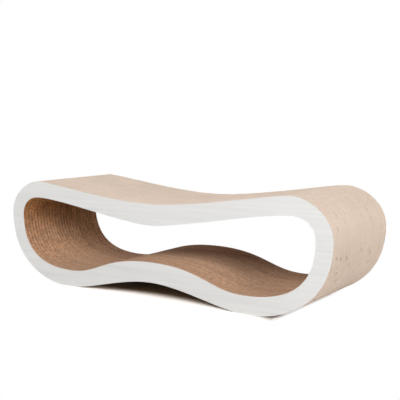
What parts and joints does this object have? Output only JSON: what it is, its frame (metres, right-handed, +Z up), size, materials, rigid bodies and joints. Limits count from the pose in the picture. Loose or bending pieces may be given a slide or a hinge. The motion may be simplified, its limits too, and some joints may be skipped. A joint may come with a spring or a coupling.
{
  "type": "cardboard cat scratcher",
  "caption": "Closed-loop lounge cat scratcher of glued corrugated cardboard, with a dished seat, a tunnel beneath it and pale wood-grain printed side faces.",
  "frame": {"origin": "on the floor, in the middle of the length and of the depth", "axes": "+X along the seat, +Y from the front printed sheet to the back one, +Z up"},
  "size_m": [0.87, 0.26, 0.245],
  "materials": {
    "kraft_board": "matte",
    "printed_sheet": "matte",
    "glue": "satin"
  },
  "bodies": {
    "root": {"corrugated_board_01": "kraft_board", "corrugated_board_02": "kraft_board", "corrugated_board_03": "kraft_board", "corrugated_board_04": "kraft_board", "corrugated_board_05": "kraft_board", "corrugated_board_06": "kraft_board", "corrugated_board_07": "kraft_board", "corrugated_board_08": "kraft_board", "corrugated_board_09": "kraft_board", "corrugated_board_10": "kraft_board", "corrugated_board_11": "kraft_board", "corrugated_board_12": "kraft_board", "corrugated_board_13": "kraft_board", "corrugated_board_14": "kraft_board", "corrugated_board_15": "kraft_board", "corrugated_board_16": "kraft_board", "corrugated_board_17": "kraft_board", "corrugated_board_18": "kraft_board", "corrugated_board_19": "kraft_board", "corrugated_board_20": "kraft_board", "corrugated_board_21": "kraft_board", "corrugated_board_22": "kraft_board", "corrugated_board_23": "kraft_board", "corrugated_board_24": "kraft_board", "corrugated_board_25": "kraft_board", "corrugated_board_26": "kraft_board", "front_face_sheet": "printed_sheet", "back_face_sheet": "printed_sheet", "glue_films": "glue"}
  },
  "joints": []
}
